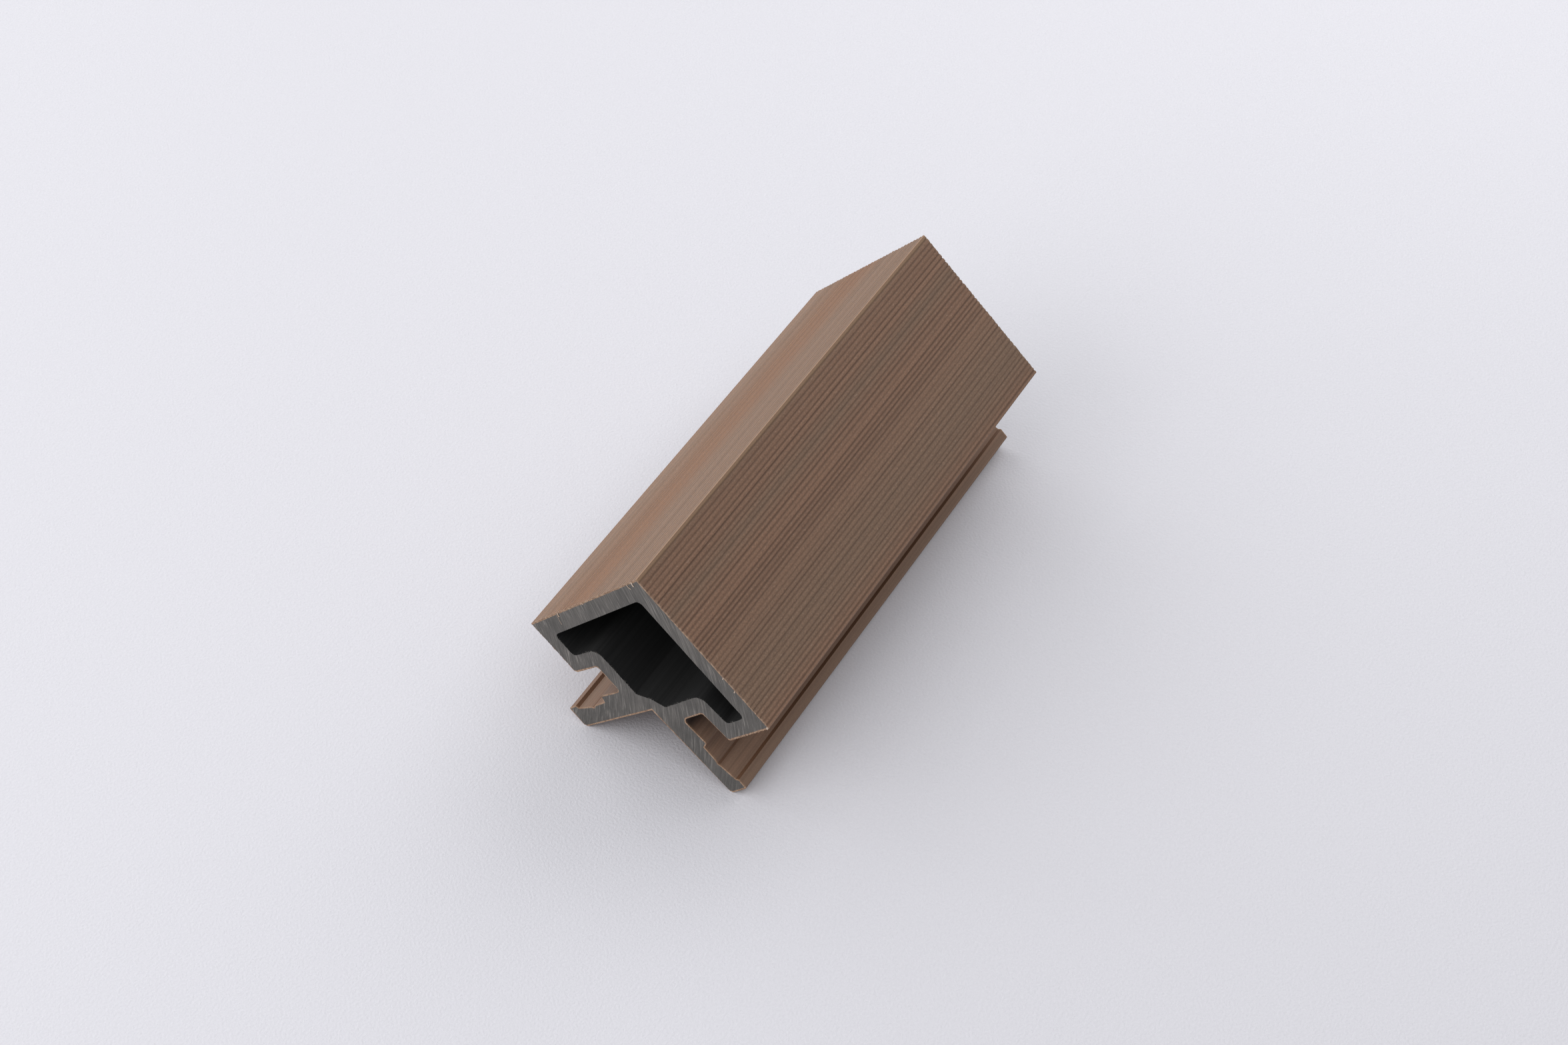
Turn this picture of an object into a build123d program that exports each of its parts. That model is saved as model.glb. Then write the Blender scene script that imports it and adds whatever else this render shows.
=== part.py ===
"""Composite corner moulding: a short sawn length of a hollow extruded corner trim.

The section is symmetric about its ridge. Each leg has a flat outer face, a hollow wing, a slot
behind the wing that takes the edge of a cladding board, and a fixing flange with a lip along its
edge. The two rear faces meet in a wide V that goes over the corner of a wall.

The piece lies as it rests on a level floor: on the edges of its two flanges, ridge upwards.
X is across the section, Y runs along the length, and Z is up. The origin is below the ridge,
at mid-length, on the floor.
"""
import os
from math import radians, sqrt, tan

from build123d import *

# Driving dimensions, in millimetres and degrees. In each leg, places are given by the distance
# from the ridge, along the outer face, and by the depth behind that face.
length = 144.3

face_width = 50.0
face_wall = 5.4
wing_depth = 17.3
wing_end_wall = 4.8
wing_rear_wall = 4.8

slot_depth = 9.8
slot_gap = 8.8
slot_lean = 4.3
web_wall = 4.9

flange_thickness = 7.6
flange_overhang = 14.8
rear_lean = 3.0
floor_wall = 3.6
floor_width_least = 3.0
floor_hump = 0.7

land_width = 8.6
step_drop = 2.0
step_run = 0.9
shelf_width = 4.5
screw_groove_width = 2.3
screw_groove_depth = 0.5
ramp_width = 4.7
ramp_rise = 0.85
lip_height = 0.9
lip_run = 0.5

ridge_radius = 0.3
wing_edge_radius = 0.3
wing_rear_radius = 1.1
slot_roof_radius = 1.0
slot_floor_radius = 1.5
land_edge_radius = 0.4
lip_edge_radius = 0.5
flange_edge_radius = 1.2
rear_corner_radius = 1.0
chamber_radius = 1.6
chamber_end_radius = 1.3
chamber_shoulder_radius = 3.0
chamber_floor_radius = 0.9
floor_hump_radius = 5.0

# Places worked out from the driving dimensions.
slot_slope = tan(radians(slot_lean))
rear_slope = tan(radians(rear_lean))


def wing_rear_depth(distance):
    """Depth of the wing's rear side, which leans away from the face towards the web."""
    return wing_depth + (face_width - distance) * slot_slope


# Slot, between the wing and the flange.
slot_root = face_width - slot_depth
slot_roof_depth = wing_rear_depth(slot_root)
slot_floor_depth = slot_roof_depth + slot_gap

# Front of the flange: land, step, shelf, screw groove, ramp and lip.
land_end = slot_root + land_width
land_end_depth = slot_floor_depth - land_width * slot_slope
shelf_start = land_end + step_run
shelf_depth = land_end_depth + step_drop
shelf_end = shelf_start + shelf_width
ramp_start = shelf_end + screw_groove_width
lip_start = ramp_start + ramp_width
lip_start_depth = shelf_depth - ramp_rise
lip_top_depth = lip_start_depth - lip_height
flange_edge = face_width + flange_overhang

# Rear of the flange: at the slot's root it is flange_thickness behind the slot's floor, and it
# leans towards the face on its way out. It meets its mirror image at the rear corner.
rear_root_depth = slot_floor_depth + flange_thickness
rear_corner = (rear_root_depth + slot_root * rear_slope) / (1 + rear_slope)
flange_edge_depth = rear_corner - (flange_edge - rear_corner) * rear_slope

# Chamber. Its floor is level, floor_wall above the rear corner, or higher where the two webs
# come so close that the floor would be narrower than floor_width_least.
chamber_end = face_width - wing_end_wall
chamber_end_depth = wing_rear_depth(chamber_end) - wing_rear_wall
web_face = slot_root - web_wall
shoulder_depth = wing_rear_depth(web_face) - wing_rear_wall
floor_below_ridge = min(sqrt(2) * rear_corner - floor_wall, sqrt(2) * web_face - floor_width_least / 2)
floor_corner_depth = sqrt(2) * floor_below_ridge - web_face
floor_centre = (floor_below_ridge - floor_hump) / sqrt(2)

# The leg plane has its origin on the ridge, X along the right outer face, and Y out of that face.
leg_plane = Plane(origin=(0, 0, 0), x_dir=(1, -1, 0), z_dir=(0, 0, 1))

outline_corners = [
    ((face_width, 0), wing_edge_radius),
    ((face_width, -wing_depth), wing_rear_radius),
    ((slot_root, -slot_roof_depth), slot_roof_radius),
    ((slot_root, -slot_floor_depth), slot_floor_radius),
    ((land_end, -land_end_depth), land_edge_radius),
    ((shelf_start, -shelf_depth), 0),
    ((shelf_end, -shelf_depth), 0),
    ((shelf_end + screw_groove_width / 2, -shelf_depth - screw_groove_depth), 0),
    ((ramp_start, -shelf_depth), 0),
    ((lip_start, -lip_start_depth), 0),
    ((lip_start + lip_run, -lip_top_depth), 0),
    ((flange_edge, -lip_top_depth), lip_edge_radius),
    ((flange_edge, -flange_edge_depth), flange_edge_radius),
]

chamber_corners = [
    ((chamber_end, -face_wall), chamber_radius),
    ((chamber_end, -chamber_end_depth), chamber_end_radius),
    ((web_face, -shoulder_depth), chamber_shoulder_radius),
    ((web_face, -floor_corner_depth), chamber_floor_radius),
]


def half_loop(first, corners, last):
    """Rounded line from one point of the mirror plane to another, by way of a leg's corners."""
    points = [first] + [point for point, _ in corners] + [last]
    FilletPolyline(points, radius=[radius for _, radius in corners])


# Section across the length, with the ridge at the sketch's origin and Y up.
with BuildSketch() as section:
    with BuildLine(leg_plane):
        half_loop((0, 0), outline_corners, (rear_corner, -rear_corner))
        mirror(about=Plane.YZ)
    make_face()
    on_mirror = section.vertices().filter_by_position(Axis.X, 0, 0).sort_by(Axis.Y)
    fillet(on_mirror[-1], ridge_radius)
    fillet(on_mirror[0], rear_corner_radius)

with BuildSketch() as chamber:
    with BuildLine(leg_plane):
        half_loop((face_wall, -face_wall), chamber_corners, (floor_centre, -floor_centre))
        mirror(about=Plane.YZ)
    make_face()
    on_mirror = chamber.vertices().filter_by_position(Axis.X, 0, 0).sort_by(Axis.Y)
    fillet(on_mirror[-1], chamber_radius)
    fillet(on_mirror[0], floor_hump_radius)

# The flange edges are the lowest points, so they set how high the ridge stands.
ridge_height = -section.sketch.bounding_box().min.Y
section_plane = Plane(origin=(0, 0, ridge_height), x_dir=(1, 0, 0), z_dir=(0, -1, 0))

with BuildPart() as corner_moulding:
    with BuildSketch(section_plane):
        add(section.sketch)
        add(chamber.sketch, mode=Mode.SUBTRACT)
    extrude(amount=length / 2, both=True)

corner_moulding.part.label = "corner_moulding"
os.makedirs("parts", exist_ok=True)
export_step(corner_moulding.part, "parts/corner_moulding.step")

print(f"ridge height {ridge_height:.2f} mm, rear corner {rear_corner:.2f} mm behind each face")
print(f"volume {corner_moulding.part.volume / 1000:.1f} cm3, {corner_moulding.part.bounding_box()}")
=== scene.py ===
# %% [markdown]
# # A composite corner moulding, sawn to a short sample
# The real thing is one extruded piece: a brown skin and a grey core of wood flour and plastic are
# pushed through one die, the outer faces are combed with fine grooves, and a saw cuts the length.
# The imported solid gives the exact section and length. This lesson takes the section from it, builds
# a finer mesh of the same size, and gives every kind of surface its own finish.

# %% Load the frame
import math
import random

import bmesh
import bpy
from mathutils import Matrix, Quaternion, Vector, noise


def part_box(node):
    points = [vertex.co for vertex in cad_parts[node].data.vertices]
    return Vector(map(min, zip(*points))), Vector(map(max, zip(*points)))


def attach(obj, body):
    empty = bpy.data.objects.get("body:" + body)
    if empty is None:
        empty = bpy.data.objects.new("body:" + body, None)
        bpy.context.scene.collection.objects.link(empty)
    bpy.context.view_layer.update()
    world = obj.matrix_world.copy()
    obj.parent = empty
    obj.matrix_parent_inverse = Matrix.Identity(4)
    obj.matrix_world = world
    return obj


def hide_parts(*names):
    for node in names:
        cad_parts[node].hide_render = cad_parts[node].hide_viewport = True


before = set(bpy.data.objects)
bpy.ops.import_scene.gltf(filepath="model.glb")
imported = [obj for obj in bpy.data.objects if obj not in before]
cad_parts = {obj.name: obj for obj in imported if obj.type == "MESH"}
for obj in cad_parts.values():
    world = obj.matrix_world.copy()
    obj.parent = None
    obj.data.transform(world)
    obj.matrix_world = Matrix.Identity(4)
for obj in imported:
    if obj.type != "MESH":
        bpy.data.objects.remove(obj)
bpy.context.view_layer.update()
mm = 0.001
node_name = "corner_moulding"
low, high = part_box(node_name)
print("CAD box in mm:", [round(side / mm, 2) for side in high - low])

# %% [markdown]
# ## The camera
# The photograph's camera was found by fitting a pinhole camera to the piece's straight edges. Blender
# needs three things from that fit: where the camera stands, the point on the floor that it looks at,
# and how far it is rolled about its own line of sight. The lens follows from the focal length in
# pixels, because the sensor's width stands for the width of the image.

# %% Camera
image_width_px = 2352
focal_length_px = 3778
camera_place = Vector((251.6, -391.15, 513.1)) * mm
camera_aim = Vector((-14.2, 15.8, 0)) * mm
camera_roll = math.radians(-3.31)

camera_data = bpy.data.cameras.new("photo_camera")
camera_data.sensor_width = 36
camera_data.lens = camera_data.sensor_width * focal_length_px / image_width_px
camera = bpy.data.objects.new("photo_camera", camera_data)
bpy.context.scene.collection.objects.link(camera)
camera.location = camera_place
camera.rotation_mode = "QUATERNION"
level_view = (camera_aim - camera_place).to_track_quat("-Z", "Y")
camera.rotation_quaternion = level_view @ Quaternion((0, 0, 1), camera_roll)
bpy.context.scene.camera = camera
bpy.context.scene.view_settings.view_transform = "Standard"
print("lens in mm:", round(camera_data.lens, 2))

# %% [markdown]
# ## Helpers for materials
# A node material is a list of nodes and the wires between them. The first helper makes one node and
# plugs things in: what goes into a socket is a plain value or another node's output. The others are
# the few moves that every finish below is made of: noise stretched along the piece, a range, a ramp
# of colours, a mix, a product, and a bump whose height is a real length.

# %% Node helpers


def new_material(name):
    """An empty node material, its node tree and its Principled shader."""
    material = bpy.data.materials.new(name)
    material.use_nodes = True
    return material, material.node_tree, material.node_tree.nodes["Principled BSDF"]


def add_node(tree, kind, sockets=None, **settings):
    """One node with its settings, and a value or a wire for each named socket."""
    made = tree.nodes.new(kind)
    for name, value in settings.items():
        setattr(made, name, value)
    for socket, value in (sockets or {}).items():
        if isinstance(value, bpy.types.NodeSocket):
            tree.links.new(value, made.inputs[socket])
        else:
            made.inputs[socket].default_value = value
    return made


def own_place(tree):
    """The piece's own coordinates, in metres."""
    return add_node(tree, "ShaderNodeTexCoord").outputs["Object"]


def noise_at(tree, place, detail=3.0, roughness=0.55):
    """Noise at a place, one feature to a unit, around 0.5."""
    sockets = {"Vector": place, "Scale": 1.0, "Detail": detail, "Roughness": roughness}
    return add_node(tree, "ShaderNodeTexNoise", sockets).outputs["Fac"]


def stretched_noise(tree, features, detail=3.0, roughness=0.55):
    """Noise on the piece's own coordinates, with so many features to a metre along X, Y and Z."""
    sockets = {0: own_place(tree), 1: features}
    scaled = add_node(tree, "ShaderNodeVectorMath", sockets, operation="MULTIPLY")
    return noise_at(tree, scaled.outputs[0], detail, roughness)


def spread(tree, value, source, target):
    """A value remapped from a source range to a target range and held inside it."""
    sockets = {"Value": value, "From Min": source[0], "From Max": source[1],
               "To Min": target[0], "To Max": target[1]}
    return add_node(tree, "ShaderNodeMapRange", sockets).outputs["Result"]


def colour_steps(tree, value, steps):
    """A colour ramp through (place, colour) steps."""
    ramp = add_node(tree, "ShaderNodeValToRGB", {"Fac": value})
    elements = ramp.color_ramp.elements
    while len(elements) < len(steps):
        elements.new(0.5)
    for element, (place, colour) in zip(elements, steps):
        element.position = place
        element.color = (*colour, 1.0)
    return ramp.outputs["Color"]


def mix_colour(tree, factor, first, second, blend="MIX"):
    """Two colours mixed by a factor. Each may be a plain colour or a wire."""
    mixer = add_node(tree, "ShaderNodeMix", data_type="RGBA", blend_type=blend)
    for name, value in (("Factor_Float", factor), ("A_Color", first), ("B_Color", second)):
        socket = next(each for each in mixer.inputs if each.identifier == name)
        if isinstance(value, bpy.types.NodeSocket):
            tree.links.new(value, socket)
        else:
            socket.default_value = value if isinstance(value, float) else (*value, 1.0)
    return next(each for each in mixer.outputs if each.identifier == "Result_Color")


def shade(tree, colour, amount):
    """A colour times a grey amount, such as a speckle that runs from 0.9 to 1.1."""
    return mix_colour(tree, 1.0, colour, amount, "MULTIPLY")


def times(tree, one, other):
    """Two values multiplied."""
    return add_node(tree, "ShaderNodeMath", {0: one, 1: other}, operation="MULTIPLY").outputs[0]


def attribute(tree, name):
    """A value that the mesh carries at its vertices."""
    return add_node(tree, "ShaderNodeAttribute", attribute_name=name).outputs["Fac"]


def bump(tree, height, depth, under=None):
    """A bump of a real depth from a height of 0 to 1, on top of another bump if there is one."""
    sockets = {"Height": height, "Distance": depth, "Strength": 1.0}
    if under:
        sockets["Normal"] = under
    return add_node(tree, "ShaderNodeBump", sockets).outputs["Normal"]


def plug(tree, shader, colour, roughness, normal):
    """Wires a finish's colour, roughness and bump to its shader."""
    tree.links.new(colour, shader.inputs["Base Color"])
    tree.links.new(roughness, shader.inputs["Roughness"])
    tree.links.new(normal, shader.inputs["Normal"])


print("node helpers ready")

# %% [markdown]
# ## Floor and light
# The piece lies on a pale floor in a bright studio. Two wide soft panels stand on its left, one
# facing the left face and one towards the sawn end. A nearer lamp behind lights the right face, more
# at the far end than at the near one, and a high lamp on the right softens the shadow in front. Broad
# lamps give the long faint shadows that one small lamp would make too dark, and the world adds a little
# light from all round. Together they light the floor at a level where a colour renders about as it is
# written. The floor is many metres wide, so that its edge stays far off in low views.

# %% Floor and light
floor_size = 20.0
floor_mesh = bpy.data.meshes.new("floor")
floor_shape = bmesh.new()
bmesh.ops.create_grid(floor_shape, x_segments=1, y_segments=1, size=floor_size)
floor_shape.to_mesh(floor_mesh)
floor_shape.free()
floor = bpy.data.objects.new("floor", floor_mesh)
bpy.context.scene.collection.objects.link(floor)

floor_finish, floor_tree, floor_shader = new_material("pale_floor")
floor_noise = stretched_noise(floor_tree, (1400, 1400, 1400), 2.0)
floor_tones = [(0.35, (0.695, 0.689, 0.735)), (0.65, (0.715, 0.709, 0.755))]
floor_colour = colour_steps(floor_tree, floor_noise, floor_tones)
floor_bump = bump(floor_tree, floor_noise, 0.14 * mm)
floor_roughness = spread(floor_tree, floor_noise, (0, 1), (0.7, 0.85))
plug(floor_tree, floor_shader, floor_colour, floor_roughness, floor_bump)
floor_mesh.materials.append(floor_finish)

world = bpy.data.worlds.new("studio")
world.use_nodes = True
background = world.node_tree.nodes["Background"]
background.inputs["Color"].default_value = (0.97, 0.98, 1.0, 1.0)
background.inputs["Strength"].default_value = 0.3
bpy.context.scene.world = world
light_target = Vector((0, 0, 30)) * mm


def soft_lamp(name, azimuth, elevation, distance, width, height, watts):
    """A rectangular area lamp that faces the piece from a compass direction, +X being 0 degrees."""
    data = bpy.data.lights.new(name, "AREA")
    data.shape = "RECTANGLE"
    data.size = width
    data.size_y = height
    data.energy = watts
    lamp = bpy.data.objects.new(name, data)
    bpy.context.scene.collection.objects.link(lamp)
    around, up = math.radians(azimuth), math.radians(elevation)
    towards = Vector((math.cos(around) * math.cos(up), math.sin(around) * math.cos(up), math.sin(up)))
    lamp.location = light_target + towards * distance
    lamp.rotation_mode = "QUATERNION"
    lamp.rotation_quaternion = (-towards).to_track_quat("-Z", "Y")


soft_lamp("left_panel", azimuth=165, elevation=25, distance=1.1, width=1.2, height=0.8, watts=5.4)
soft_lamp("end_panel", azimuth=240, elevation=30, distance=1.0, width=1.2, height=0.8, watts=5.4)
soft_lamp("back_lamp", azimuth=78, elevation=40, distance=0.7, width=0.8, height=0.6, watts=2.3)
soft_lamp("high_lamp", azimuth=330, elevation=68, distance=1.2, width=1.3, height=1.0, watts=4.3)

# %% [markdown]
# ## The section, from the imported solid
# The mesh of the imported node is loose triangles. Merged, it is a closed prism, and its near end is a
# flat patch with a hole in it. Everything else is deleted, then the patch's inner edges, and what is
# left is two loops of edges: the outline and the chamber. They keep the exact corners and rounds of
# the solid, so no outline has to be typed in again.

# %% Section loops
merge_distance = 1e-6
body = bmesh.new()
body.from_mesh(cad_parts[node_name].data)
bmesh.ops.remove_doubles(body, verts=body.verts, dist=merge_distance)
rest_of_it = [face for face in body.faces if face.normal.y > -0.99]
bmesh.ops.delete(body, geom=rest_of_it, context="FACES")
inner_edges = [edge for edge in body.edges if not edge.is_boundary]
bmesh.ops.delete(body, geom=inner_edges, context="EDGES")


def loop_through(start):
    """Edges of the closed loop that this vertex is on."""
    edge, vert, edges = start.link_edges[0], start, []
    while edge not in edges:
        edges.append(edge)
        vert = edge.other_vert(vert)
        edge = next(other for other in vert.link_edges if other is not edge)
    return edges


outline = loop_through(max(body.verts, key=lambda vert: vert.co.z))
chamber = [edge for edge in body.edges if edge not in outline]
print("outline edges:", len(outline), "chamber edges:", len(chamber))

# %% [markdown]
# ## Walls and skin
# Extruding the two loops along the length gives the walls. The sawn ends stand a quarter of a
# millimetre inside the solid's ends, which leaves room for the burrs that stand out from them. At each
# end the outline is filled with one face and inset by the thickness of the skin: the ring that this
# leaves is the cut edge of the skin. The face inside it is taken out again, and where a round corner is
# smaller than the skin is thick, the ring's inner points are merged so that they don't cross. Each kind
# of face gets its material number as it is made.

# %% Walls and skin
# PAINTED_SHADE numbers the skin faces that get a painted shade, darker and more orange.
COMBED, PLAIN, PAINTED_SHADE, CUT_SKIN, CORE, CHAMBER = range(6)
skin_thickness = 0.42 * mm
corner_merge = 0.15 * mm
burr_room = 0.25 * mm
near_end, far_end = low.y + burr_room, high.y - burr_room
bmesh.ops.translate(body, verts=body.verts, vec=(0, burr_room, 0))


def extrude_along(edges, number):
    """Walls from a loop of edges to the far end, and the loop of edges there."""
    made = bmesh.ops.extrude_edge_only(body, edges=edges)["geom"]
    moved = [part for part in made if isinstance(part, bmesh.types.BMVert)]
    bmesh.ops.translate(body, verts=moved, vec=(0, far_end - near_end, 0))
    for part in made:
        if isinstance(part, bmesh.types.BMFace):
            part.material_index = number
    return [part for part in made if isinstance(part, bmesh.types.BMEdge) and
            all(vert in moved for vert in part.verts)]


def skin_ring(outer_edges):
    """The cut edge of the skin at one end."""
    whole = bmesh.ops.contextual_create(body, geom=outer_edges)["faces"]
    ring = bmesh.ops.inset_region(body, faces=whole, thickness=skin_thickness, use_even_offset=True,
                                  use_boundary=True)["faces"]
    for face in ring:
        face.material_index = CUT_SKIN
    inner = list(whole[0].verts)
    bmesh.ops.delete(body, geom=whole, context="FACES_ONLY")
    bmesh.ops.remove_doubles(body, verts=inner, dist=corner_merge)


far_outline = extrude_along(outline, PLAIN)
extrude_along(chamber, CHAMBER)
skin_ring(outline)
skin_ring(far_outline)
bmesh.ops.recalc_face_normals(body, faces=body.faces)
print("faces:", len(body.faces), "open edges:", sum(edge.is_boundary for edge in body.edges))

# %% [markdown]
# ## Combed grooves
# A wire comb scratches the two outer faces while the skin is still warm, so the grooves are straight,
# soft in section, about 1.3 mm apart and never quite even. The ends of the wings have finer, shallower
# flutes. Each groove is a set of seven cuts along the face with `bisect_plane`, and the cut lines are
# then pushed in by a cosine, deepest in the middle. The skin's ring at the two ends is cut with the
# face, so the grooves show at the saw cut, while the line between skin and core stays straight under
# them. A vertex attribute remembers how deep in a groove a point is, and the material darkens the
# colour by it: painted shade in the grooves, stronger in deeper ones.

# %% Combed grooves
right_along, right_out = Vector((1, 0, -1)).normalized(), Vector((1, 0, 1)).normalized()
left_along, left_out = Vector((-1, 0, -1)).normalized(), Vector((-1, 0, 1)).normalized()
# This attribute holds the painted shade in the grooves.
groove_shade_layer = body.verts.layers.float.new("groove")
flat = 1e-6
close = 0.01 * mm
snap_distance = 1e-7
front_part = 5 * mm
ridge = Vector((0, 0, max(vert.co.dot(right_out) for vert in body.verts) * math.sqrt(2)))
wing_edge = max(vert.co.dot(right_along) for vert in body.verts
                if (vert.co - ridge).dot(right_out) > -flat)
face_width = wing_edge - ridge.dot(right_along)
wing_end = max((vert.co - ridge).dot(right_along) for vert in body.verts
               if (ridge - vert.co).dot(right_out) < front_part)
wing_depth = max(-(vert.co - ridge).dot(right_out) for vert in body.verts
                 if abs((vert.co - ridge).dot(right_along) - wing_end) < close)
dice = random.Random(11)


def comb_lines(start, end, pitch, half_width, depth):
    """Places, half widths and depths of a face's grooves, as uneven as a wire comb leaves them."""
    lines = []
    place = start
    while place < end:
        lines.append((place, half_width * dice.uniform(0.8, 1.1), depth * dice.uniform(0.55, 1.1)))
        place += pitch * dice.uniform(0.86, 1.14)
    return lines


def groove_share(offset):
    """Share of a groove's depth, from 1 at its middle to 0 at its rim, where offset is 1."""
    return 0.5 + 0.5 * math.cos(math.pi * min(offset, 1.0))


def with_borders(faces):
    """Faces with their edges and vertices, each once, as `bisect_plane` takes them."""
    edges = dict.fromkeys(edge for face in faces for edge in face.edges)
    verts = dict.fromkeys(vert for face in faces for vert in face.verts)
    return [*faces, *edges, *verts]


def comb(corner, across, out, lines, groove_shade_strength):
    """Cuts and pushes in the grooves of one flat face, which starts at a corner and runs across, and
    stores the painted shade for them.
    """
    level, zero = corner.dot(out), corner.dot(across)
    usual_depth = max(depth for _, _, depth in lines)
    cuts_to_a_groove = 7
    shares = [2 * number / (cuts_to_a_groove - 1) - 1 for number in range(cuts_to_a_groove)]
    for place in [middle + half * share for middle, half, _ in lines for share in shares]:
        depths = {vert: level - vert.co.dot(out) for vert in body.verts}
        cut = [face for face in body.faces if min(depths[vert] for vert in face.verts) < flat and
               max(depths[vert] for vert in face.verts) < 1.5 * skin_thickness]
        bmesh.ops.bisect_plane(body, geom=with_borders(cut), dist=snap_distance,
                               plane_co=corner + across * place, plane_no=across)
    for face in body.faces:
        if face.normal.dot(out) > 0.999 and abs(face.verts[0].co.dot(out) - level) < flat:
            face.material_index = COMBED
    for vert in [each for each in body.verts if abs(each.co.dot(out) - level) < flat]:
        place = vert.co.dot(across) - zero
        for middle, half, depth in lines:
            share = groove_share(abs(place - middle) / half)
            if share > 0:
                vert.co -= out * depth * share
                # Painted shade in the groove: its strength, for the material to darken the colour by.
                vert[groove_shade_layer] = share * groove_shade_strength * depth / usual_depth


# The last number in each row is the strength of the painted shade in the grooves.
right_comb = (right_along, right_out, 0.2 * mm, 1.0)
left_comb = (left_along, left_out, 0.14 * mm, 0.7)
for along, out, depth, groove_shade_strength in (right_comb, left_comb):
    grooves = comb_lines(start=1.15 * mm, end=face_width - 0.6 * mm, pitch=1.33 * mm,
                         half_width=0.5 * mm, depth=depth)
    comb(ridge, along, out, grooves, groove_shade_strength)
    flutes = comb_lines(start=0.7 * mm, end=wing_depth - 0.5 * mm, pitch=1.15 * mm,
                        half_width=0.36 * mm, depth=0.12 * mm)
    comb(ridge + along * wing_end, -out, along, flutes, groove_shade_strength=0.4)
print("face width and wing depth in mm:", round(face_width / mm, 2), round(wing_depth / mm, 2))
print("faces:", len(body.faces))

# %% [markdown]
# ## Painted shade on the flanges and at the slot's root
# Along the inner face of each lip, and low in the screw groove, the skin is painted a deep orange brown:
# painted shade on faces that turn towards the ridge, away from the light. These faces are found by the
# way that they look, towards the ridge or away from it, and by their distance from it, and they get a
# material number of their own. The screw groove's side is cut along its middle first, because only its
# lower half gets the painted shade. The root of the right slot gets painted shade as well, but there
# the dark fades out over a few millimetres, so a vertex attribute holds it: the slot's sides are cut
# where the painted shade ends, and Blender blends the values between the cut and the root. An
# operator may give its faces in another order on the next run, so where one face is meant, it is the
# largest that fits and not the first.

# %% Painted shade on flanges and slot root
# Painted shade at the root of the right slot, from 1 at the root to 0 where it ends.
painted_slot_shade_layer = body.verts.layers.float.new("painted_slot_shade")
painted_slot_shade_width = 5.5 * mm


def distance_of(face, along):
    """How far from the ridge the middle of a face is, along one leg."""
    return (face.calc_center_median() - ridge).dot(along)


def depth_of(face, out):
    """How far the middle of a face is behind one leg's outer face."""
    return (ridge - face.calc_center_median()).dot(out)


def cut_across(faces, place, along):
    """Cuts faces by a plane square to a leg, and gives the faces on both sides of the cut."""
    halves = bmesh.ops.bisect_plane(body, geom=with_borders(faces), dist=snap_distance,
                                    plane_co=ridge + along * place, plane_no=along)
    return [part for part in halves["geom"] if isinstance(part, bmesh.types.BMFace)]


def largest(faces):
    """The face with the largest area."""
    return max(faces, key=lambda face: face.calc_area())


def behind_wing(along, out):
    """The plain faces of one leg's slot and flange."""
    plain = [face for face in body.faces if face.material_index == PLAIN]
    return [face for face in plain if wing_depth < depth_of(face, out) < distance_of(face, along)]


def paint_flange_shade(along, out):
    """Numbers the faces of one leg's flange that get painted shade."""
    on_flange = [face for face in behind_wing(along, out) if distance_of(face, along) > wing_end]
    # Faces that turn towards the ridge, away from the light, get the painted shade.
    for face in on_flange:
        if face.normal.dot(along) < -0.8:
            face.material_index = PAINTED_SHADE
    groove_side = [face for face in on_flange if -0.6 < face.normal.dot(along) < -0.25 and
                   face.normal.dot(out) > 0]
    # Painted shade on the lower half of the screw groove's side.
    middle = distance_of(largest(groove_side), along)
    for face in cut_across(groove_side, middle, along):
        if distance_of(face, along) < middle:
            face.material_index = PAINTED_SHADE


def painted_slot_shade_root(along, out):
    """Paints shade on the root of one leg's slot, fading out over a few millimetres."""
    before_wing_end = [face for face in behind_wing(along, out) if distance_of(face, along) < wing_end]
    root = largest([face for face in before_wing_end if face.normal.dot(along) > 0.99])
    root_place = distance_of(root, along)
    slot_height = 2 * (depth_of(root, out) - wing_depth)
    in_slot = [face for face in before_wing_end if depth_of(face, out) < wing_depth + slot_height]
    for face in cut_across(in_slot, root_place + painted_slot_shade_width, along):
        for vert in face.verts:
            from_root = (vert.co - ridge).dot(along) - root_place
            vert[painted_slot_shade_layer] = max(0.0, 1 - from_root / painted_slot_shade_width)


# Painted shade on the flanges of both legs.
paint_flange_shade(right_along, right_out)
paint_flange_shade(left_along, left_out)
# Painted shade at the root of the right slot, where little light reaches.
painted_slot_shade_root(right_along, right_out)
print("scorched faces:", sum(face.material_index == PAINTED_SHADE for face in body.faces))
print("stained vertices:", sum(vert[painted_slot_shade_layer] > 0 for vert in body.verts))

# %% [markdown]
# ## An uneven skin at the cut
# The skin is thickest on the left face, thinner on the right one and only a film in the slots and
# wherever it looks down to the left. Its line against the core wanders. Every short edge across the
# ring joins an outer point to an inner one, so moving the inner point along that edge makes the skin
# thicker or thinner there, as long as it stops short of the outer point. Blender's own noise gives the
# same wander on every run.

# %% Uneven skin
facing = 0.9
least_skin = 0.2


def wander(place, features_per_metre, seed):
    """Smooth noise from about -1 to 1, the same on every run."""
    return noise.noise(place * features_per_metre + Vector((seed, seed, seed)))


def verts_of(*numbers):
    """The vertices of every face that has one of these material numbers."""
    return {vert for face in body.faces if face.material_index in numbers for vert in face.verts}


def usual_skin(outwards, is_combed):
    """The usual thickness of skin that looks this way, as a share of the ring's width."""
    if is_combed and (outwards.dot(left_out) > facing or outwards.dot(right_along) > facing):
        return 1.25
    if outwards.dot(left_along) > facing:
        return 0.3
    if outwards.dot(right_out) > facing or outwards.z < -0.5:
        return 0.9
    return 0.65


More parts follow.
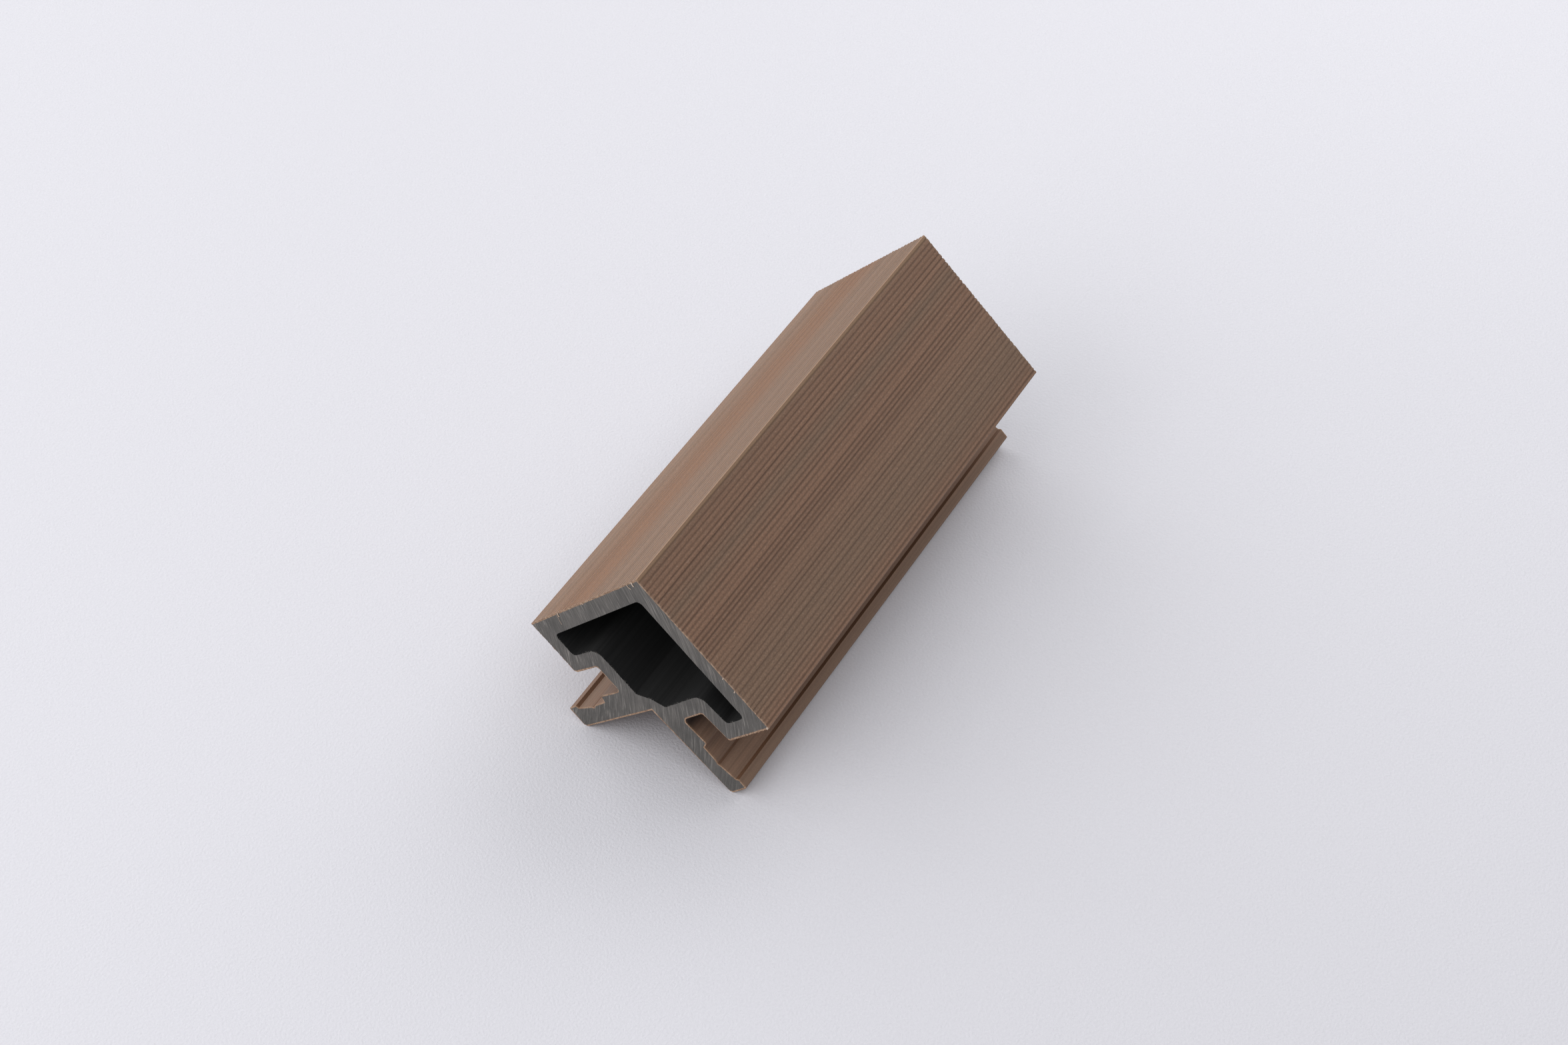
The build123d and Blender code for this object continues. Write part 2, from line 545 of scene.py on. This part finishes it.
outer_verts, combed_verts = verts_of(COMBED, PLAIN, PAINTED_SHADE), verts_of(COMBED)
ring_verts = verts_of(CUT_SKIN)
for inner in ring_verts - outer_verts:
    neighbours = [edge.other_vert(inner) for edge in inner.link_edges]
    partners = [vert for vert in neighbours if vert in outer_verts]
    if partners:
        outer = min(partners, key=lambda vert: (vert.co - inner.co).length)
        gap = (outer.co - inner.co).length
        outwards = (outer.co - inner.co).normalized()
        usual = usual_skin(outwards, outer in combed_verts)
        share = usual * (1 + 0.22 * wander(inner.co, 900, 3) + 0.12 * wander(inner.co, 3500, 5))
        inner.co += outwards * min(skin_thickness * (1 - share), (1 - least_skin) * gap)
print("skin points moved:", len(ring_verts - outer_verts))

# %% [markdown]
# ## The core's two faces
# Between the skin's ring and the chamber each end is still open. A triangle fill closes it: that face is
# the sawn core. It waits until here because the ring's inner points have now found their places, so no
# triangle is turned over by moving them. The shell is closed then, and its normals are set once more.

# %% Core faces
for end in (near_end, far_end):
    open_edges = [edge for edge in body.edges if edge.is_boundary and
                  abs(edge.verts[0].co.y - end) < flat]
    filled = bmesh.ops.triangle_fill(body, edges=open_edges, use_beauty=True)["geom"]
    for part in filled:
        if isinstance(part, bmesh.types.BMFace):
            part.material_index = CORE
bmesh.ops.recalc_face_normals(body, faces=body.faces)
print("open edges:", sum(edge.is_boundary for edge in body.edges))

# %% [markdown]
# ## Saw marks
# A circular blade leaves faint arcs on the core. They are wide enough to catch light, so they are real
# relief: `bisect_plane` cuts the core's face along lines square to the blade's radius, and its points
# are then pushed in by up to five hundredths of a millimetre. The depth is noise along the radius
# alone, so points on one line move together and close lines move alike. The finer streaks between
# them are left to the material, which uses the same blade centre.

# %% Saw marks
blade_centre = Vector((-100, 0, 20)) * mm
mark_height = 40 * mm
mark_depth = 0.05 * mm
for end, inwards in ((near_end, 1), (far_end, -1)):
    place = low.x
    while place < high.x:
        place += dice.uniform(0.35, 0.95) * mm
        on_line = Vector((place, 0, mark_height))
        core = [face for face in body.faces if face.material_index == CORE and
                abs(face.verts[0].co.y - end) < flat]
        bmesh.ops.bisect_plane(body, geom=with_borders(core), dist=merge_distance,
                               plane_co=on_line, plane_no=on_line - blade_centre)
    for vert in verts_of(CORE):
        if abs(vert.co.y - end) < flat:
            radius = (Vector((vert.co.x, 0, vert.co.z)) - blade_centre).length
            vert.co.y += inwards * mark_depth * (0.5 + 0.5 * wander(Vector((radius, end, 0)), 1300, 17))
print("faces:", len(body.faces))

# %% [markdown]
# ## Stations along the length, and ragged ends
# The long faces are cut across into shorter ones, closely at the ends and every few millimetres
# between, so that the edge at the saw cut can be ragged and the ridge can be worn without bending the
# whole length. At the cut the skin is torn back a little in some places and turned out as a small burr
# in others. Points that would leave the solid's box are put back on it.

# %% Stations and ragged ends
close_steps = [0.3 * mm, 0.7 * mm, 1.4 * mm, 2.6 * mm]
stations = [near_end + step for step in close_steps] + [far_end - step for step in close_steps]
even_step = 4 * mm
tear_size = 0.28 * mm
burr_size = 0.2 * mm
count = int((far_end - near_end) / even_step)
stations += [near_end + even_step * number for number in range(1, count)]
for station in stations:
    geom = body.verts[:] + body.edges[:] + body.faces[:]
    bmesh.ops.bisect_plane(body, geom=geom, dist=snap_distance,
                           plane_co=(0, station, 0), plane_no=(0, 1, 0))

body.normal_update()
for vert in verts_of(COMBED, PLAIN, PAINTED_SHADE):
    for end, inwards in ((near_end, 1), (far_end, -1)):
        if abs(vert.co.y - end) < close:
            torn = max(0.0, wander(vert.co, 2200, 7) + 0.5 * wander(vert.co, 6000, 9))
            turned_out = max(0.0, wander(vert.co, 1500, 11)) * burr_size
            sideways = Vector((vert.normal.x, 0, vert.normal.z)).normalized()
            vert.co.y += inwards * torn * tear_size
            vert.co += sideways * turned_out
            vert.co.x = min(max(vert.co.x, low.x), high.x)
            vert.co.z = min(max(vert.co.z, low.z), high.z)
print("stations:", len(stations), "triangles:", sum(len(face.verts) - 2 for face in body.faces))

# %% [markdown]
# ## Where the skin is worn, and a painted highlight on the ridge
# The ridge is paler on its left side, partly rubbed pale and partly a painted highlight where its round
# faces the light. The skin right at the saw cut is worn pale too. Another attribute holds the wear and
# the painted highlight at each vertex, and the materials read it.

# %% Wear and painted highlight
wear_and_highlight_layer = body.verts.layers.float.new("wear_and_highlight")
most_ridge_pale, ridge_pale_width, ridge_pale_past_ridge = 0.8, 0.5 * mm, 0.05 * mm
most_sawn, sawn_width = 0.75, 0.35 * mm
outer_verts = verts_of(COMBED, PLAIN, PAINTED_SHADE)
for vert in outer_verts:
    from_ridge = (Vector((vert.co.x, 0, vert.co.z)) - ridge).length
    on_left = vert.co.x < ridge_pale_past_ridge
    # Pale ridge on its left side: partly wear, partly a painted highlight.
    ridge_pale = most_ridge_pale * max(0.0, 1 - from_ridge / ridge_pale_width) if on_left else 0.0
    from_end = min(vert.co.y - near_end, far_end - vert.co.y)
    sawn = most_sawn * max(0.0, 1 - from_end / sawn_width)
    vert[wear_and_highlight_layer] = max(ridge_pale, sawn)
print("worn vertices:", sum(vert[wear_and_highlight_layer] > 0 for vert in outer_verts))

# %% [markdown]
# ## Combed skin
# The skin is wood flour in a brown plastic, banded along the length because several shades are fed
# into the die together, from tan to olive brown. A ramp of colours across X gives the broad bands, and
# noise stretched along Y gives the fine streaks in them. On top come a fine speckle, pale flecks of
# flour, a golden strip on the right of the ridge, painted shade in the grooves, and the worn ridge with
# a painted highlight on it.

# %% Combed skin


def combed_skin():
    """Skin of the outer faces, in bands from the left wing to the right one, with X in millimetres."""
    material, tree, shader = new_material("combed_skin")
    pale_tan = (0.289, 0.180, 0.121)
    orange_brown = (0.245, 0.129, 0.072)
    beige_brown = (0.241, 0.151, 0.100)
    red_brown = (0.214, 0.122, 0.078)
    olive_brown = (0.196, 0.123, 0.081)
    bands = [(-35, pale_tan), (-31, beige_brown), (-22, orange_brown), (-17.5, orange_brown),
             (-12.3, beige_brown), (-1, beige_brown), (2, red_brown), (6, red_brown), (9, olive_brown),
             (12, red_brown), (16, red_brown), (27, olive_brown), (31, olive_brown), (35, red_brown)]
    fine = stretched_noise(tree, (520, 4, 520), 3.0)
    speckle = stretched_noise(tree, (2600, 2000, 2600), 2.0, 0.65)
    flour = stretched_noise(tree, (3000, 900, 3000), 2.0)
    across = add_node(tree, "ShaderNodeSeparateXYZ", {0: own_place(tree)}).outputs["X"]
    half_face = 36 * mm
    colour = colour_steps(tree, spread(tree, across, (-half_face, half_face), (0, 1)),
                          [(0.5 + place * mm / half_face / 2, shade_of) for place, shade_of in bands])
    colour = shade(tree, colour, spread(tree, fine, (0.3, 0.7), (0.87, 1.13)))
    colour = shade(tree, colour, spread(tree, speckle, (0.3, 0.7), (0.78, 1.22)))
    colour = mix_colour(tree, spread(tree, flour, (0.62, 0.74), (0, 0.35)), colour, (0.36, 0.26, 0.19))
    right_of_ridge = spread(tree, across, (0, 0.1 * mm), (0, 1))
    beside_ridge = spread(tree, across, (0.4 * mm, 0.9 * mm), (0.7, 0))
    golden = times(tree, right_of_ridge, beside_ridge)
    colour = mix_colour(tree, golden, colour, (0.27, 0.173, 0.10))
    # Painted shade in the grooves: the colour darkens towards a deep brown where the groove attribute is
    # high.
    groove = spread(tree, attribute(tree, "groove"), (0, 1), (0, 0.75))
    colour = mix_colour(tree, groove, colour, (0.088, 0.047, 0.029))
    # Wear, and the painted highlight on the ridge, broken up in patches.
    patchiness = spread(tree, stretched_noise(tree, (900, 700, 900), 2.0), (0.45, 0.62), (0.2, 1.0))
    pale_wear_and_highlight = times(tree, attribute(tree, "wear_and_highlight"), patchiness)
    colour = mix_colour(tree, pale_wear_and_highlight, colour, (0.43, 0.32, 0.235))
    grain = bump(tree, stretched_noise(tree, (3000, 900, 3000), 3.0, 0.6), 0.05 * mm)
    roughness = spread(tree, speckle, (0.3, 0.7), (0.5, 0.7))
    plug(tree, shader, colour, roughness, bump(tree, speckle, 0.06 * mm, grain))
    shader.inputs["Specular IOR Level"].default_value = 0.3
    return material


combed_finish = combed_skin()
print("combed skin nodes:", len(combed_finish.node_tree.nodes))

# %% [markdown]
# ## Plain skin
# In the slots, on the flanges and behind, the skin comes straight from the die and is never combed. It
# is smoother and drawn with faint die lines along the length. The faces with painted shade on the
# flanges have the same finish in deeper shades, so it is made twice, in two pairs of shades.

# %% Plain skin


def die_skin(name, one_shade, other_shade):
    """Skin as the die leaves it, streaked between two shades."""
    material, tree, shader = new_material(name)
    broad = stretched_noise(tree, (200, 3, 200), 2.0)
    die_lines = stretched_noise(tree, (1700, 3, 1700), 2.0)
    speckle = stretched_noise(tree, (4600, 2400, 4600), 2.0, 0.65)
    colour = colour_steps(tree, broad, [(0.38, one_shade), (0.62, other_shade)])
    colour = shade(tree, colour, spread(tree, die_lines, (0.3, 0.7), (0.84, 1.14)))
    colour = shade(tree, colour, spread(tree, speckle, (0.3, 0.7), (0.9, 1.1)))
    # Painted shade at the root of the right slot, read from its attribute.
    painted_slot_shade = spread(tree, attribute(tree, "painted_slot_shade"), (0, 0.65), (0, 1))
    colour = mix_colour(tree, painted_slot_shade, colour, (0.036, 0.021, 0.015))
    # Wear at the saw cut, from the attribute that also holds the ridge's painted highlight.
    colour = mix_colour(tree, attribute(tree, "wear_and_highlight"), colour, (0.44, 0.27, 0.16))
    lines = bump(tree, die_lines, 0.05 * mm)
    roughness = spread(tree, speckle, (0.3, 0.7), (0.5, 0.66))
    plug(tree, shader, colour, roughness, bump(tree, speckle, 0.02 * mm, lines))
    shader.inputs["Specular IOR Level"].default_value = 0.3
    return material


plain_finish = die_skin("plain_skin", (0.200, 0.127, 0.087), (0.219, 0.129, 0.085))
# Deeper shades of the same finish: painted shade for the faces that turn away from the light.
painted_shade_finish = die_skin("painted_shade_skin", (0.135, 0.069, 0.040), (0.149, 0.075, 0.043))
print("plain skin nodes:", len(plain_finish.node_tree.nodes))

# %% [markdown]
# ## Cut skin
# Where the blade went through, the skin shows its inside: a torn edge, peach to orange brown, with
# pale frayed spots. Noise at the size of the tearing mixes the shades and roughens the edge. The curls
# that hang from that edge are thin and bleached by the bending, so they get paler shades of it.

# %% Cut skin


def cut_skin(name, dark, middle, pale):
    """Torn skin in three shades, from dark to pale."""
    material, tree, shader = new_material(name)
    torn = stretched_noise(tree, (1400, 1400, 1400), 3.0, 0.6)
    frayed = stretched_noise(tree, (4200, 4200, 4200), 2.0, 0.6)
    colour = colour_steps(tree, torn, [(0.32, dark), (0.48, middle), (0.66, pale)])
    colour = shade(tree, colour, spread(tree, frayed, (0.3, 0.7), (0.75, 1.2)))
    roughness = spread(tree, frayed, (0.3, 0.7), (0.6, 0.85))
    plug(tree, shader, colour, roughness, bump(tree, torn, 0.08 * mm))
    return material


cut_finish = cut_skin("cut_skin", (0.17, 0.108, 0.073), (0.32, 0.195, 0.12), (0.45, 0.31, 0.215))
curl_finish = cut_skin("curled_skin", (0.36, 0.265, 0.2), (0.5, 0.385, 0.3), (0.62, 0.51, 0.42))
print("cut skin nodes:", len(cut_finish.node_tree.nodes))

# %% [markdown]
# ## Sawn core
# The core is grey, with pale streaks where the teeth dragged over it and specks of flour. The streaks
# follow the blade, so the noise is read in polar coordinates about the blade's centre: fine along the
# radius and long around it. They come in patches, where the blade leaned on the core. The two ends
# differ because Y goes into the noise as well.

# %% Sawn core


def sawn_core():
    """Grey core with the blade's streaks."""
    material, tree, shader = new_material("sawn_core")
    sockets = {0: own_place(tree), 1: blade_centre}
    place = add_node(tree, "ShaderNodeVectorMath", sockets, operation="SUBTRACT")
    parts = add_node(tree, "ShaderNodeSeparateXYZ", {0: place.outputs[0]}).outputs
    flat_place = add_node(tree, "ShaderNodeCombineXYZ", {0: parts["X"], 1: parts["Z"]})
    radius = add_node(tree, "ShaderNodeVectorMath", {0: flat_place.outputs[0]}, operation="LENGTH")
    angle = add_node(tree, "ShaderNodeMath", {0: parts["Z"], 1: parts["X"]}, operation="ARCTAN2")
    sockets = {0: radius.outputs["Value"], 1: angle.outputs[0], 2: parts["Y"]}
    polar = add_node(tree, "ShaderNodeCombineXYZ", sockets)
    stretched = add_node(tree, "ShaderNodeVectorMath", {0: polar.outputs[0], 1: (2600, 15, 60)},
                         operation="MULTIPLY")
    streaks = noise_at(tree, stretched.outputs[0], 3.0, 0.6)
    mottle = stretched_noise(tree, (160, 160, 160), 3.0)
    patches = spread(tree, stretched_noise(tree, (110, 110, 110), 1.0), (0.38, 0.62), (0.2, 0.95))
    flour = stretched_noise(tree, (3600, 3600, 3600), 2.0, 0.6)
    colour = colour_steps(tree, mottle, [(0.35, (0.087, 0.081, 0.074)), (0.65, (0.107, 0.099, 0.090))])
    colour = shade(tree, colour, spread(tree, streaks, (0.3, 0.6), (0.7, 1.16)))
    bright = times(tree, spread(tree, streaks, (0.56, 0.7), (0, 1)), patches)
    colour = mix_colour(tree, bright, colour, (0.25, 0.23, 0.21))
    colour = mix_colour(tree, spread(tree, flour, (0.66, 0.74), (0, 0.5)), colour, (0.21, 0.19, 0.17))
    drag = bump(tree, streaks, 0.06 * mm)
    roughness = spread(tree, flour, (0.3, 0.7), (0.55, 0.75))
    plug(tree, shader, colour, roughness, bump(tree, flour, 0.03 * mm, drag))
    return material


core_finish = sawn_core()
print("sawn core nodes:", len(core_finish.node_tree.nodes))

# %% [markdown]
# ## Chamber
# Inside, the core was never cut: it is the dull dark grey of the compound as it left the die, with
# faint die lines along the length. Its colour is set near black, darker than that grey, as painted
# shade for the deep chamber.

# %% Chamber


def chamber_wall():
    """Near-black wall of the chamber: the compound's dark grey, darkened further as painted shade."""
    material, tree, shader = new_material("chamber_wall")
    die_lines = stretched_noise(tree, (1300, 3, 1300), 2.0)
    # Near-black tones: the compound's own dark grey, with painted shade of the deep chamber on top.
    tones = [(0.35, (0.020, 0.020, 0.020)), (0.65, (0.028, 0.028, 0.028))]
    colour = colour_steps(tree, die_lines, tones)
    roughness = spread(tree, die_lines, (0.3, 0.7), (0.7, 0.8))
    plug(tree, shader, colour, roughness, bump(tree, die_lines, 0.02 * mm))
    shader.inputs["Specular IOR Level"].default_value = 0.1
    return material


chamber_finish = chamber_wall()
print("chamber nodes:", len(chamber_finish.node_tree.nodes))

# %% [markdown]
# ## The moulding as one object
# The finished bmesh becomes a mesh object at the origin, with its place in its vertices. Long faces
# are shaded smooth and every edge that turns by more than a set angle is marked sharp, so rounds look
# round and corners stay crisp. Edges inside a groove stay smooth, and the sawn faces flat shaded. The
# edges round the chamber's mouth are noted first, because the fluff grows from them. They are sorted by
# place, so that the random draws fall on them in the same order on every run.

# %% Moulding object
sharp_turn = math.radians(20)


def finish_mesh(shape, name, materials, flat_numbers=(), soft_number=None):
    """A mesh object from a bmesh, riding on the part's one body."""
    for face in shape.faces:
        face.smooth = face.material_index not in flat_numbers
    for edge in shape.edges:
        is_soft = all(face.material_index == soft_number for face in edge.link_faces)
        edge.smooth = is_soft or edge.calc_face_angle(0) < sharp_turn
    mesh = bpy.data.meshes.new(name)
    shape.to_mesh(mesh)
    shape.free()
    for material in materials:
        mesh.materials.append(material)
    made = bpy.data.objects.new(name, mesh)
    bpy.context.scene.collection.objects.link(made)
    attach(made, "root")
    return made


mouth_edges = []
for edge in body.edges:
    if {face.material_index for face in edge.link_faces} == {CORE, CHAMBER}:
        first, last = sorted([vert.co.copy() for vert in edge.verts], key=tuple)
        wall = next(face for face in edge.link_faces if face.material_index == CHAMBER)
        mouth_edges.append((first, last, wall.normal.copy()))
mouth_edges.sort(key=lambda row: tuple(row[0] + row[1]))
finishes = [combed_finish, plain_finish, painted_shade_finish, cut_finish, core_finish, chamber_finish]
moulding = finish_mesh(body, "moulding", finishes, flat_numbers=(CUT_SKIN, CORE), soft_number=COMBED)
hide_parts(node_name)
print("triangles:", sum(len(face.vertices) - 2 for face in moulding.data.polygons))

# %% [markdown]
# ## Curls of skin at the cut
# The blade leaves a few shavings hanging from the edge of the skin, over the grey core. Each is a
# short edge, swept round part of a circle with `spin`, lifted a little at its free end and given a
# thickness with `solidify`. Their places follow the photograph: two by the ridge, some further down
# each face, and a pale chip at the right wing's corner.

# %% Curls of skin
curls = bmesh.new()
curl_thickness = 0.09 * mm
curl_lift = 0.09 * mm
curl_depth = 0.15 * mm


def curl(root, heading, width, bend_radius, bend):
    """A strip on the near end that leaves a root in a heading and bends, one way or the other."""
    earlier = set(curls.faces)
    side = heading.cross(Vector((0, 1, 0))).normalized()
    ends = [curls.verts.new(root + side * width * share) for share in (-0.5, 0.5)]
    edge = curls.edges.new(ends)
    centre = root + side * bend_radius * (1 if bend > 0 else -1)
    bmesh.ops.spin(curls, geom=ends + [edge], cent=centre, axis=(0, 1, 0), angle=-bend, steps=8)
    strip = [face for face in curls.faces if face not in earlier]
    reach = bend_radius * abs(bend)
    for vert in {vert for face in strip for vert in face.verts}:
        vert.co.y -= curl_lift * min(1.0, (vert.co - root).length / reach)
    bmesh.ops.solidify(curls, geom=strip, thickness=curl_thickness)


def on_cut(along, out, place):
    """A point in the skin just in front of the near end, at a place along one leg."""
    return ridge + along * place - out * curl_depth + Vector((0, near_end - 0.02 * mm, 0))


down = Vector((0.25, 0, -1)).normalized()
left_curls = ((2.3, 0.35, 2.2, 0.6), (4.4, 0.2, 1.3, 1.3), (25, 0.2, 0.9, 0.6),
              (37, 0.35, 3.0, 0.4), (37.5, 0.06, 12.0, 0.3))
right_curls = ((32.6, 0.25, 0.7, -0.9), (37, 0.3, 0.8, -1.0), (49.4, 0.55, 0.8, -0.9))
for along, out, rows in ((left_along, left_out, left_curls), (right_along, right_out, right_curls)):
    for place, width, radius, bend in rows:
        curl(on_cut(along, out, place * mm), down, width * mm, radius * mm, bend)
bmesh.ops.recalc_face_normals(curls, faces=curls.faces)
skin_curls = finish_mesh(curls, "skin_curls", [curl_finish])
print("curl faces:", len(skin_curls.data.polygons))

# %% [markdown]
# ## Fluff round the chamber
# The saw leaves a fringe of torn core where the teeth came out of the material, along the lower sides
# of the chamber's mouth, thicker in some tufts and more of it on the left. Each fibre is a thin cone
# with four sides, cut at half its length and bent there. Hundreds of them are joined in one mesh.

# %% Fluff
fluff = bmesh.new()
fluff_dice = random.Random(23)


def fibre(root, heading, size, thickness):
    """One bent tapering fibre that grows from a root in a heading."""
    verts = bmesh.ops.create_cone(fluff, cap_ends=True, segments=4, radius1=thickness,
                                  radius2=thickness * 0.25, depth=size)["verts"]
    faces = list(dict.fromkeys(face for vert in verts for face in vert.link_faces))
    cut = bmesh.ops.bisect_plane(fluff, geom=with_borders(faces), dist=1e-8,
                                 plane_co=(0, 0, 0), plane_no=(0, 0, 1))
    middle = [part for part in cut["geom_cut"] if isinstance(part, bmesh.types.BMVert)]
    sideways = [fluff_dice.uniform(-0.35, 0.35) * size for _ in range(2)]
    bmesh.ops.translate(fluff, verts=middle, vec=(*sideways, 0))
    turned = heading.to_track_quat("Z", "Y").to_matrix().to_4x4()
    placed = Matrix.Translation(root + heading * size * 0.45) @ turned
    bmesh.ops.transform(fluff, matrix=placed, verts=verts + middle)


fibre_count = 0
for first, last, open_side in mouth_edges:
    if open_side.z > 0.1:
        at_near_end = first.y < 0
        per_mm = (14 if first.x < 0 else 7) if at_near_end else 4
        tuft = max(0.0, 0.45 + wander(first, 450, 13))
        expected = per_mm * tuft * (last - first).length / mm
        number = int(expected) + (fluff_dice.random() < expected - int(expected))
        fibre_count += number
        for _ in range(number):
            root = first.lerp(last, fluff_dice.random())
            lean = (last - first).normalized() * fluff_dice.uniform(-1.4, 1.4)
            outwards = Vector((0, fluff_dice.uniform(-0.25, 0.5) * (1 if at_near_end else -1), 0))
            size = fluff_dice.uniform(0.1, 0.5) * (0.6 + tuft) * mm
            thickness = fluff_dice.uniform(0.012, 0.028) * mm
            fibre(root, (open_side + lean + outwards).normalized(), size, thickness)


def torn_core():
    """Pale grey of the torn fibres."""
    material, tree, shader = new_material("torn_core")
    tone = stretched_noise(tree, (1500, 1500, 1500), 2.0)
    colour = colour_steps(tree, tone, [(0.35, (0.11, 0.103, 0.095)), (0.65, (0.24, 0.225, 0.205))])
    plug(tree, shader, colour, spread(tree, tone, (0.3, 0.7), (0.6, 0.8)), bump(tree, tone, 0.02 * mm))
    return material


chamber_fluff = finish_mesh(fluff, "chamber_fluff", [torn_core()])
print("fibres:", fibre_count)
